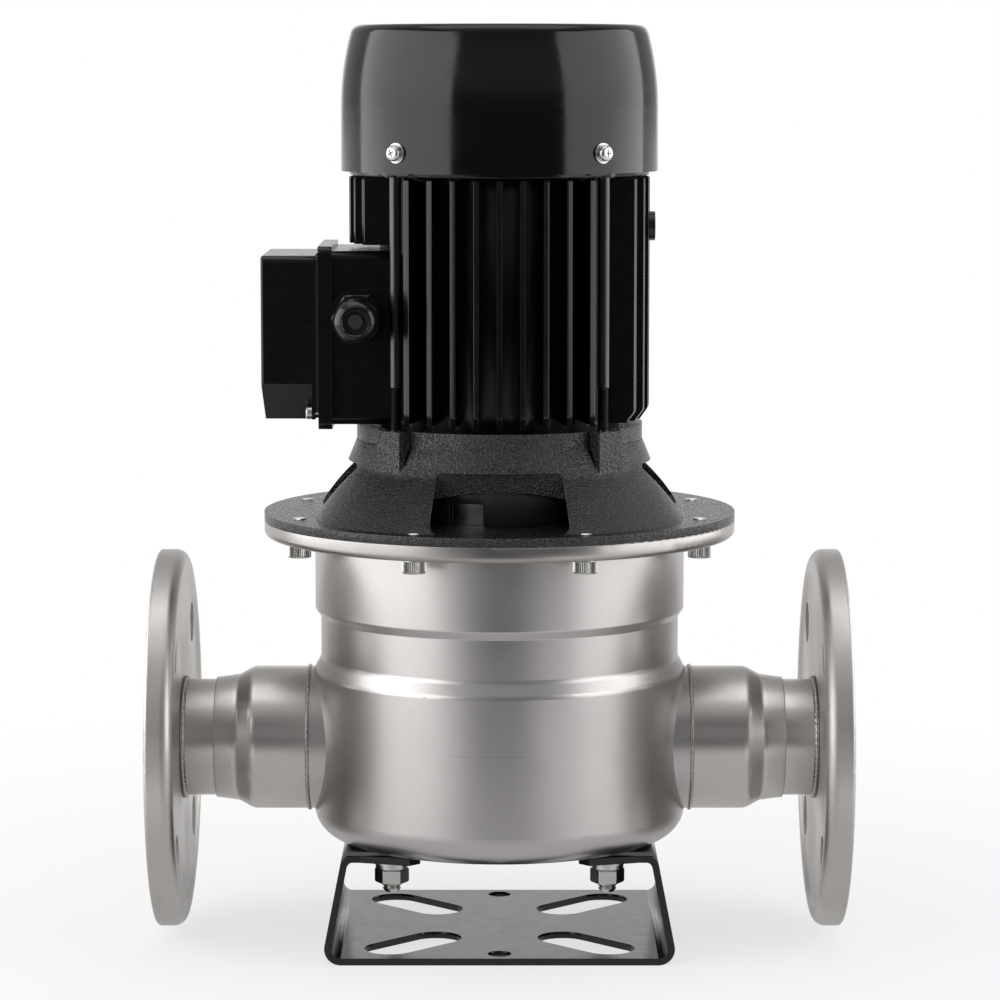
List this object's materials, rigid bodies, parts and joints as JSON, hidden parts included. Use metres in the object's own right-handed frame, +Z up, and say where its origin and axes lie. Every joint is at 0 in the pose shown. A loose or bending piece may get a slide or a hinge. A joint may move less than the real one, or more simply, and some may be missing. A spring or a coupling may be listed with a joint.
{
  "type": "inline circulation pump",
  "caption": "Inline circulation pump with a stainless casing, flanged pipe ends, black lantern, finned electric motor with a terminal box, and a bent-sheet foot.",
  "frame": {"origin": "on the pump's axis, on the surface that the foot stands on", "axes": "+Z up along the shaft, +X along the pipes towards the outlet, -Y towards the side with the cable gland"},
  "size_m": [0.3, 0.2048, 0.397],
  "materials": {
    "foot_paint": "semi-gloss black paint",
    "pressed_stainless": "satin stainless",
    "turned_stainless": "brushed stainless",
    "zinc_steel": "zinc plated",
    "lantern_paint": "black paint on cast iron",
    "motor_paint": "gloss black paint",
    "black_screw": "black oxide",
    "black_plastic": "fine grain",
    "grey_plastic": "smooth",
    "brown_plastic": "moulded",
    "black_rubber": "matt",
    "lamination": "stacked sheet",
    "enamelled_copper": "varnished windings",
    "cast_aluminium": "as cast",
    "bearing_steel": "ground",
    "brass_cage": "pressed",
    "ground_steel": "ground",
    "ceramic": "polished",
    "carbon": "lapped",
    "brass": "turned"
  },
  "bodies": {
    "pump": {"base_bracket": "foot_paint", "foot_strips": "turned_stainless", "foot_studs": "turned_stainless", "foot_washers": "zinc_steel", "foot_spring_washers": "zinc_steel", "foot_nuts": "zinc_steel", "pump_casing": "pressed_stainless", "casing_flange": "turned_stainless", "joint_screws": "zinc_steel", "reducers": "pressed_stainless", "pipe_sleeves": "turned_stainless", "neck_tubes": "turned_stainless", "inlet_flange": "turned_stainless", "outlet_flange": "turned_stainless", "weld_beads": "pressed_stainless", "suction_chamber": "pressed_stainless", "diffuser": "pressed_stainless", "wear_ring": "brass", "casing_cover": "pressed_stainless", "casing_o_ring": "black_rubber", "seal_seat": "ceramic", "lantern": "lantern_paint", "guard_drum": "black_plastic", "wave_spring": "bearing_steel", "motor_frame": "motor_paint", "through_bolts": "black_screw", "stator_core": "lamination", "windings": "enamelled_copper", "end_shield": "motor_paint", "fan_cover": "motor_paint", "fan_cover_screws": "zinc_steel", "terminal_box_base": "motor_paint", "terminal_box_gasket": "black_rubber", "terminal_box_lid": "motor_paint", "lid_screws": "zinc_steel", "gland_body": "black_plastic", "gland_nut": "black_plastic", "gland_seal": "black_rubber", "gland_plug": "grey_plastic", "terminal_block": "brown_plastic", "terminal_studs": "brass", "lower_bearing_outer_ring": "bearing_steel", "upper_bearing_outer_ring": "bearing_steel"},
    "rotor": {"shaft": "ground_steel", "impeller": "pressed_stainless", "impeller_key": "ground_steel", "impeller_nut": "zinc_steel", "seal_collar": "turned_stainless", "seal_spring": "turned_stainless", "seal_ring": "carbon", "shaft_slinger": "black_rubber", "rotor_core": "lamination", "rotor_end_rings": "cast_aluminium", "lower_bearing_inner_ring": "bearing_steel", "upper_bearing_inner_ring": "bearing_steel", "fan": "black_plastic"},
    "lower_bearing": {"lower_bearing_balls": "bearing_steel", "lower_bearing_cage": "brass_cage"},
    "upper_bearing": {"upper_bearing_balls": "bearing_steel", "upper_bearing_cage": "brass_cage"}
  },
  "joints": [
    {"name": "rotor_spin", "type": "hinge", "parent": "pump", "child": "rotor", "pos_m": [0, 0, 0.217], "axis": [0, 0, 1], "continuous": true},
    {"name": "lower_cage_spin", "type": "hinge", "parent": "pump", "child": "lower_bearing", "pos_m": [0, 0, 0.217], "axis": [0, 0, 1], "continuous": true},
    {"name": "upper_cage_spin", "type": "hinge", "parent": "pump", "child": "upper_bearing", "pos_m": [0, 0, 0.324], "axis": [0, 0, 1], "continuous": true}
  ],
  "couplings": [
    {"joint": "lower_cage_spin", "follows": "rotor_spin", "ratio": 0.3836},
    {"joint": "upper_cage_spin", "follows": "rotor_spin", "ratio": 0.3842}
  ]
}
